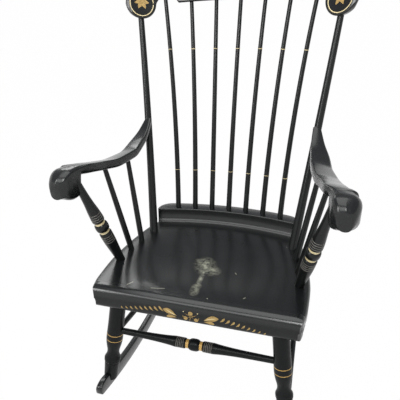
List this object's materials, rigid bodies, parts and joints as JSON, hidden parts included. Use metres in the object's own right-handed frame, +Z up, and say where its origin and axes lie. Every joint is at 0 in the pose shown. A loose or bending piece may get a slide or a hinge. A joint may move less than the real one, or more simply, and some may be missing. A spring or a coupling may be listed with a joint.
{
  "type": "rocking chair",
  "caption": "Boston rocking chair: saddled plank seat, bent spindle back with a crest rail, rolled arms on turned supports, turned legs on curved rockers, black lacquer.",
  "frame": {"origin": "on the floor under the middle of the chair's overall length and width", "axes": "+X to the sitter's left, +Y to the back, +Z up"},
  "size_m": [0.694, 0.72, 1.102],
  "materials": {
    "lacquered_board": "black satin lacquer on sawn and bent boards",
    "lacquered_turning": "black satin lacquer on turnings",
    "screw_steel": "plain steel screw, hidden under a plug",
    "gold_stencil_paint": "bronze powder stencilled on the lacquer"
  },
  "bodies": {
    "root": {"seat_plank": "lacquered_board", "seat_front_roll": "lacquered_board", "back_riser": "lacquered_board", "crest_rail": "lacquered_board", "arm_right": "lacquered_board", "arm_left": "lacquered_board", "rocker_right": "lacquered_board", "rocker_left": "lacquered_board", "arm_screw_plug_right": "lacquered_board", "arm_screw_plug_left": "lacquered_board", "leg_pin_front_right": "lacquered_board", "leg_pin_front_left": "lacquered_board", "leg_pin_rear_right": "lacquered_board", "leg_pin_rear_left": "lacquered_board", "back_post_right": "lacquered_turning", "back_post_left": "lacquered_turning", "back_spindle_1": "lacquered_turning", "back_spindle_2": "lacquered_turning", "back_spindle_3": "lacquered_turning", "back_spindle_4": "lacquered_turning", "back_spindle_5": "lacquered_turning", "back_spindle_6": "lacquered_turning", "back_spindle_7": "lacquered_turning", "arm_support_right": "lacquered_turning", "arm_support_left": "lacquered_turning", "arm_spindle_front_right": "lacquered_turning", "arm_spindle_front_left": "lacquered_turning", "arm_spindle_rear_right": "lacquered_turning", "arm_spindle_rear_left": "lacquered_turning", "leg_front_right": "lacquered_turning", "leg_front_left": "lacquered_turning", "leg_rear_right": "lacquered_turning", "leg_rear_left": "lacquered_turning", "front_stretcher": "lacquered_turning", "rear_stretcher": "lacquered_turning", "side_stretcher_right": "lacquered_turning", "side_stretcher_left": "lacquered_turning", "arm_screw_right": "screw_steel", "arm_screw_left": "screw_steel"}
  },
  "joints": []
}
